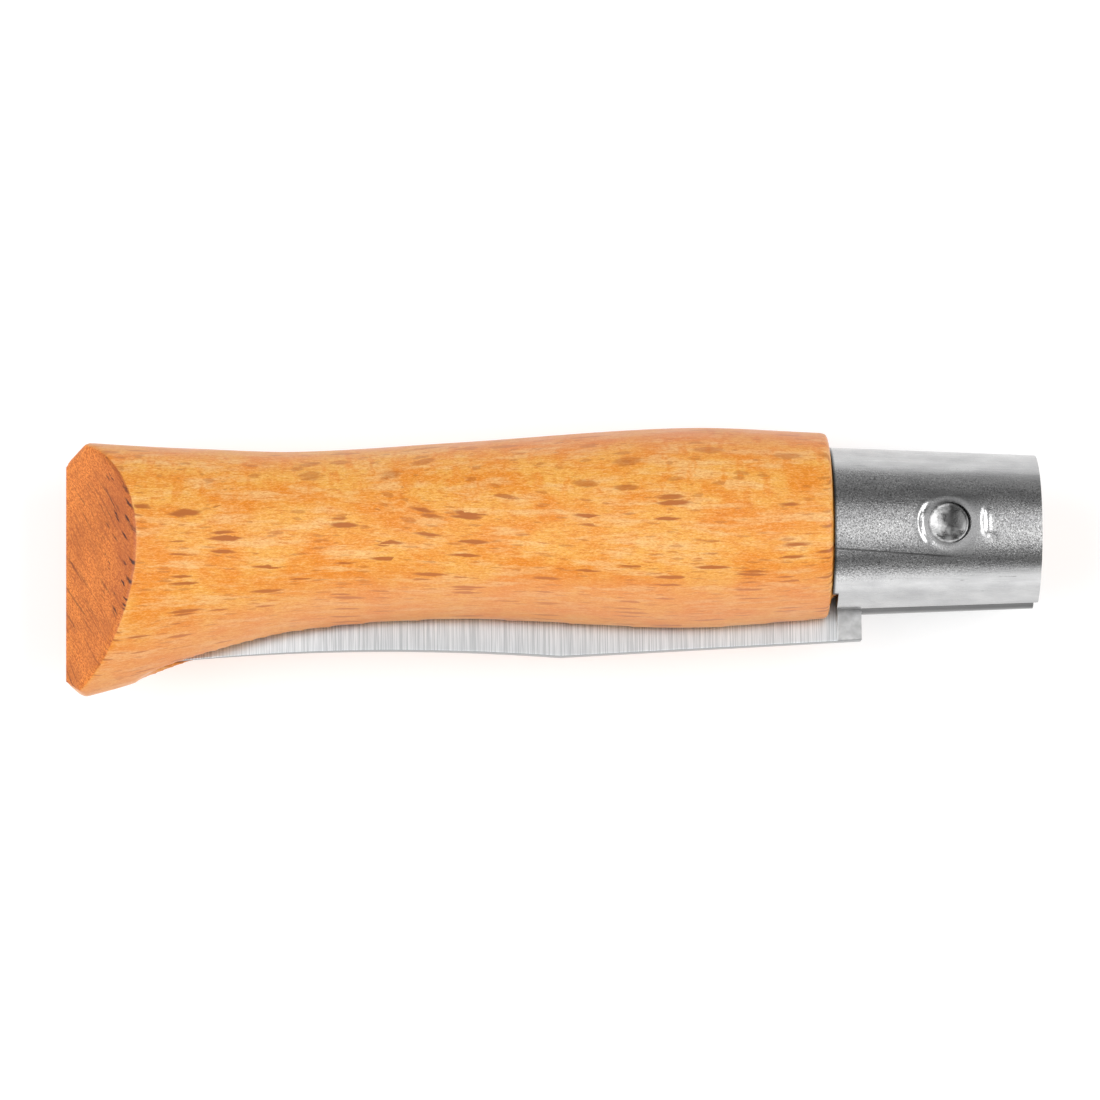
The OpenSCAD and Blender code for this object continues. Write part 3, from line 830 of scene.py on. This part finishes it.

# %% [markdown]
# ## Ground steel
#
# The blade was ground on a wheel that ran from spine to edge, so its lines lie across
# the blade. They are the shared line group again, squeezed along the blade this time.
# The tang was not ground: it keeps the cloudy skin it had after hardening, and that skin is painted darker
# too, a painted shade of the ferrule over it.

# %% Material: blade steel
def make_blade_steel():
    material, t, shader = new_material("ground steel")
    mm = drawing_mm(t)
    axes = add(t, "ShaderNodeSeparateXYZ", {0: mm})
    ground = fade(t, axes.outputs[0], 83.2, 83.6, 1.0, 0.0)
    wheel = placed(t, fine_lines, {"Place": mm, "Stretch": (7.0, 0.07, 0.3), "Sharpness": 0.6})
    finer = placed(t, fine_lines, {"Place": mm, "Stretch": (16.0, 0.16, 0.3), "Sharpness": 0.6})
    clouds = placed(t, patches, {"Place": mm, "Stretch": (0.9, 0.9, 0.9), "Contrast": 1.3})
    finer_share = calc(t, "MULTIPLY", finer.outputs["Lines"], 0.4)
    lines_both = calc(t, "ADD", calc(t, "MULTIPLY", wheel.outputs["Lines"], 0.6), finer_share)
    bright = blend(t, fade(t, lines_both, 0.40, 0.60), (0.58, 0.605, 0.62, 1), (0.88, 0.90, 0.92, 1))
    # cloudy skin, painted darker as a painted shade of the ferrule
    skin_and_shade = blend(t, clouds.outputs[0], (0.40, 0.40, 0.40, 1), (0.62, 0.62, 0.62, 1))
    colour = blend(t, ground, skin_and_shade, bright)
    # the spine was sheared, not ground, and is duller than the sides; faces turned towards the spine side are
    # also painted darker, a painted shade that outlines the blade
    facing = add(t, "ShaderNodeSeparateXYZ", {0: add(t, "ShaderNodeTexCoord").outputs["Normal"]}).outputs[1]
    colour = blend(t, fade(t, facing, -0.65, -0.30, 1.0, 0.0), colour, (0.34, 0.345, 0.35, 1))
    rough = blend(t, ground, (0.36, 0.36, 0.36, 1), (0.33, 0.33, 0.33, 1))
    rough = add(t, "ShaderNodeSeparateColor", {0: rough}).outputs[0]
    rough = calc(t, "MULTIPLY_ADD", lines_both, 0.12, rough)
    height = calc(t, "MULTIPLY", lines_both, ground)
    height = calc(t, "MULTIPLY_ADD", clouds.outputs[0], 0.2, height)
    feed(t, shader, colour, rough, height, 0.4, 0.00003)
    shader.inputs["Metallic"].default_value = 1.0
    return material


blade_steel = make_blade_steel()
print("made", blade_steel.name)

# %% [markdown]
# ## The blade
#
# A grafting blade has a straight edge and a belly that curves up to the point. It is
# ground on one face only and left flat on the other, so that it cuts a flat slope.
# The mesh is a loft of thin slices from the point to the tang. Each slice knows how far
# every point on it is from the cutting edge, and the ground face rises by that distance.

# %% Shape of the blade
PLUNGE, THICK, EDGE_T = SHOULDER + 2.6, 2.0, 0.12
GRIND = (THICK - EDGE_T) / WIDE_W


def edge_at(x):
    if x < BELLY_X:
        return EDGE_Y
    return EDGE_Y - BELLY_R + math.sqrt(max(BELLY_R**2 - (x - BELLY_X) ** 2, 0))


def top_at(x):
    """Upper outline from the rivet out, through the tang to the cutting edge."""
    if x < PLUNGE:
        slope_start = TANG_R + 2
        if x > slope_start:
            return mix(TANG_R - 0.3, EDGE_Y, (x - slope_start) / (PLUNGE - slope_start))
        if x > 2:
            return max(TANG_R - 0.3, math.sqrt(max(TANG_R**2 - x * x, 0)))
        return math.sqrt(max(TANG_R**2 - x * x, 0))
    return edge_at(x)


def bottom_at(x):
    if x < SHOULDER:
        return -TANG_R if x > 0 else -math.sqrt(max(TANG_R**2 - x * x, 0))
    return spine_at(x)


def near_face(x, y):
    """Height of the ground side over the middle plane."""
    if x < PLUNGE:
        return THICK / 2
    d = EDGE_Y - y if x < BELLY_X else BELLY_R - math.hypot(x - BELLY_X, y - EDGE_Y + BELLY_R)
    flat = EDGE_T - THICK / 2 + GRIND * max(d, 0)
    return mix(THICK / 2, flat, min(1, (x - PLUNGE) / 0.08))


ACROSS, EASE = 22, 0.12


def blade_slice(x, squeeze=0.0):
    """One closed ring at a distance from the rivet, with its corners eased."""
    low, high = bottom_at(x) + squeeze, top_at(x) - squeeze
    ease = min(EASE, (high - low) * 0.3)
    ys = [low, low + ease * 0.3, low + ease, low + ease * 1.3]
    ys += [mix(low + ease * 1.3, high - 0.04, i / ACROSS) for i in range(1, ACROSS)]
    ys += [high - 0.04, high]
    near = [near_face(x, y) for y in ys]
    back = [-THICK / 2] * len(ys)
    for i, cut in ((0, ease), (1, ease * 0.3)):
        near[i] = max(near[i] - cut, -THICK / 2 + cut + 0.02)
        back[i] = -THICK / 2 + cut
    if x < PLUNGE:
        for i, cut in ((-1, 0.12), (-2, 0.06)):
            near[i] -= cut
            back[i] += cut
    ring = [(PIVOT_X - x, y, z) for y, z in zip(ys, near)]
    ring += [(PIVOT_X - x, y, z) for y, z in reversed(list(zip(ys, back)))]
    return ring


belly_turn = math.asin(BELLY_L / BELLY_R)
outward = [-TANG_R * math.cos(a) for a in np.linspace(0.06, math.pi / 2, 26)]
outward += list(np.linspace(0, SHOULDER - 0.001, 16)[1:])
outward += [SHOULDER, SHOULDER + 0.1] + list(np.linspace(SHOULDER + 0.4, PLUNGE, 6))
outward += [PLUNGE + 0.03, PLUNGE + 0.05, PLUNGE + 0.08]
outward += list(np.linspace(PLUNGE + 1, BELLY_X, 70))
outward += [BELLY_X + BELLY_R * math.sin(belly_turn * i / 60) for i in range(1, 61)]
blade_mesh = loft([blade_slice(x) for x in reversed(outward)], "blade")


# %% Bore the tang and cut the nail nick
def nick_cutter():
    """A thin disc standing on edge: one side upright to catch a nail, one side sloping."""
    long, wide, deep, x = 12.0, 1.5, 0.6, 50.0
    r = (long**2 / 4 + deep**2) / (2 * deep)
    y0 = spine_at(x) + 1.1
    n, points = 240, []
    for y, radius in ((y0, r), (y0 + wide, r - deep - 0.02)):
        points += [
            (PIVOT_X - x + radius * math.sin(2 * math.pi * j / n), y,
             -THICK / 2 + deep - r + radius * math.cos(2 * math.pi * j / n)) for j in range(n)
        ]
    faces = [(j, (j + 1) % n, n + (j + 1) % n, n + j) for j in range(n)]
    faces += [tuple(reversed(range(n))), tuple(range(n, 2 * n))]
    me = mesh_of("nick", points, faces)
    bm = bmesh.new()
    bm.from_mesh(me)
    bmesh.ops.recalc_face_normals(bm, faces=bm.faces[:])
    bm.to_mesh(me)
    bm.free()
    return me


blade_mesh = carved(blade_mesh, [rod(PIVOT_X, 0, 2.05, 2.05, -5, 5), nick_cutter()], "blade")
finish_piece(blade_mesh, "ground_blade", "folding_blade", "blade", blade_steel, angle=30)

# %% [markdown]
# ## The rivet
#
# The rivet is a pin through everything, spread at both ends by a round punch that left
# each end dished. A turned shape is simplest as a profile spun round its axis. The dish
# is not perfect: blows of the punch left it slightly lumpy, so its floor is moved by a
# few hundredths of a millimetre.

# %% Material: rivet steel
def make_rivet_steel():
    material, t, shader = new_material("peened steel")
    mm = drawing_mm(t)
    marks = placed(t, patches, {"Place": mm, "Stretch": (1.3, 1.3, 0.8), "Contrast": 1.6})
    scuffs = placed(t, fine_lines, {"Place": mm, "Stretch": (2.0, 6.0, 3.0), "Sharpness": 0.8})
    colour = blend(t, marks.outputs[0], (0.26, 0.26, 0.26, 1), (0.60, 0.60, 0.60, 1))
    colour = blend(t, scuffs.outputs["Cuts"], colour, (0.18, 0.18, 0.18, 1))
    # painted shade: the upper part of the dish is painted near black, where the concave end looks dark
    off = distance_from(t, mm, (PIVOT_X + 0.80, 0.50, 0.0))
    off = calc(t, "MULTIPLY_ADD", marks.outputs[0], 0.5, off)
    colour = blend(t, fade(t, off, 1.1, 2.6, 0.90, 0.0), colour, (0.06, 0.06, 0.06, 1))
    rough = fade(t, marks.outputs[0], 0.0, 1.0, 0.22, 0.40)
    height = calc(t, "ADD", marks.outputs[0], scuffs.outputs["Lines"])
    feed(t, shader, colour, rough, height, 0.3, 0.00006)
    shader.inputs["Metallic"].default_value = 1.0
    return material


rivet_steel = make_rivet_steel()


# %% Spin the rivet
DISH_R, DISH_DEEP, LUMP = 1.95, 0.42, 0.012


def rivet_mesh(sides=96):
    half = math.sqrt(ferrule_r(PIVOT_X) ** 2 - HEAD_R**2)
    rim = [
        (SHANK_R, 0.0), (SHANK_R, half - 0.9), (2.14, half - 0.45), (2.17, half - 0.12),
        (2.12, half - 0.03), (2.02, half),
    ]
    dish = []
    for i in range(1, 13):
        r = DISH_R * (1 - i / 12)
        dish.append((r, half - 0.02 - DISH_DEEP * (1 - (r / DISH_R) ** 2)))
    top = rim[1:] + dish[:-1]
    rings = [(r, -z) for r, z in reversed(top)] + top
    points = []
    for r, z in rings:
        in_dish = abs(z) > half - 0.46 and r < 1.96
        swell = LUMP * math.sin(math.pi * min(r / DISH_R, 1)) if in_dish else 0
        for j in range(sides):
            a = 2 * math.pi * j / sides
            lump = swell * math.sin(2 * a + 1)
            points.append((PIVOT_X + r * math.cos(a), r * math.sin(a), z + math.copysign(lump, z)))
    n, m = sides, len(rings)
    faces = [
        (i * n + j, i * n + (j + 1) % n, (i + 1) * n + (j + 1) % n, (i + 1) * n + j)
        for i in range(m - 1) for j in range(n)
    ]
    points += [(PIVOT_X, 0, -half + 0.44), (PIVOT_X, 0, half - 0.44)]
    faces += [((j + 1) % n, j, m * n) for j in range(n)]
    faces += [((m - 1) * n + j, (m - 1) * n + (j + 1) % n, m * n + 1) for j in range(n)]
    return mesh_of("rivet", points, faces)


finish_piece(
    rivet_mesh(), "pivot_rivet_peened", "grip", "pivot_rivet", rivet_steel, angle=50
)

# %% [markdown]
# ## Table, light and camera
#
# The knife lies on a white table between two large soft lamps, one beyond the butt and
# one beyond the ferrule. Steel is drawn by what it reflects, so the sky matters more to
# it than the lamps do: it is bright overhead, like the roof of a light tent, darkest
# part of the way down, and a white card stands on the side that the slot faces.

# %% Table
TABLE = 1.5  # half its width, in metres
corners = [(-TABLE, -TABLE, 0), (TABLE, -TABLE, 0), (TABLE, TABLE, 0), (-TABLE, TABLE, 0)]
floor_mesh = mesh_of("table", corners, [(0, 1, 2, 3)])
paper, t, shader = new_material("white paper")
spots = noise(t, stretched(t, drawing_mm(t), (0.02, 0.02, 0.02)), 1.0, 2.0)
t.links.new(blend(t, spots, (0.54, 0.54, 0.54, 1), (0.57, 0.57, 0.57, 1)), shader.inputs["Base Color"])
shader.inputs["Roughness"].default_value = 0.9
shader.inputs["Emission Color"].default_value = (1, 1, 1, 1)
shader.inputs["Emission Strength"].default_value = 0.54
floor_mesh.materials.append(paper)
table = new_piece("table", floor_mesh)
table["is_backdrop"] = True

# %% Light
world = bpy.data.worlds.new("light tent")
bpy.context.scene.world = world
world.use_nodes = True
w = world.node_tree
direction = add(w, "ShaderNodeTexCoord").outputs["Generated"]
up = add(w, "ShaderNodeSeparateXYZ", {0: direction}).outputs[2]
ramp = add(w, "ShaderNodeValToRGB", {0: up})
for place, value in ((0.20, 0.34), (0.44, 0.30), (0.70, 0.12), (0.84, 0.42), (0.92, 0.62)):
    stop = ramp.color_ramp.elements.new(place)
    stop.color = (value, value, value, 1)
ramp.color_ramp.elements[0].color = (0.45, 0.45, 0.45, 1)
ramp.color_ramp.elements[-1].color = (0.82, 0.82, 0.82, 1)
side = add(w, "ShaderNodeSeparateXYZ", {0: direction}).outputs[1]
card = fade(w, side, -0.80, -0.95, 0.0, 1.2)
white = add(w, "ShaderNodeCombineXYZ", {0: card, 1: card, 2: card}).outputs[0]
sky = add(w, "ShaderNodeVectorMath", {0: ramp.outputs[0], 1: white}, operation="ADD")
w.links.new(sky.outputs[0], w.nodes["Background"].inputs["Color"])
w.nodes["Background"].inputs["Strength"].default_value = 1.0


def soft_light(name, place, size, power):
    data = bpy.data.lights.new(name, "AREA")
    data.shape, data.size, data.energy = "SQUARE", size, power
    ob = bpy.data.objects.new(name, data)
    ob.location = place
    ob.rotation_mode = "QUATERNION"
    ob.rotation_quaternion = (-Vector(place)).to_track_quat("-Z", "Y")
    bpy.context.scene.collection.objects.link(ob)
    return ob


soft_light("lamp at the butt", (-0.95, 0.0, 1.0), 1.2, 12.4)
soft_light("lamp at the ferrule", (0.95, 0.0, 1.0), 1.2, 11.0)
bpy.context.scene.view_settings.view_transform = "Standard"

# %% Camera
ROLL, YAW, DISTANCE, WIDTH = math.radians(7.4), math.radians(3.0), 0.95, 0.11907
back = Vector((-math.sin(YAW), -math.sin(ROLL) * math.cos(YAW), math.cos(ROLL) * math.cos(YAW)))
aim = on_table @ Vector((52.34, -1.84, 0))
camera_data = bpy.data.cameras.new("camera")
camera_data.sensor_width = 36
camera_data.lens = 36 * DISTANCE / WIDTH
camera_data.clip_start = 0.05
camera = bpy.data.objects.new("camera", camera_data)
bpy.context.scene.collection.objects.link(camera)
right = (Vector((1, 0, 0)) - back * back.x).normalized()
turned = Matrix((right, back.cross(right), back)).transposed().to_4x4()
camera.matrix_world = Matrix.Translation(aim + back * DISTANCE) @ turned
bpy.context.scene.camera = camera
print("camera at", [round(c, 3) for c in camera.location])

# %% [markdown]
# ## Both boxes, and finish
#
# The detailed pieces must not be larger than the CAD model, so both boxes are written
# side by side before the frame takes over.

# %% Write both boxes and finish
low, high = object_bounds()
sizes = {"cad": [list(cad_low), list(cad_high)], "visual": [list(low), list(high)]}
for name, (a, b) in sizes.items():
    print(name, [round(1000 * (q - p), 2) for p, q in zip(a, b)], "mm")
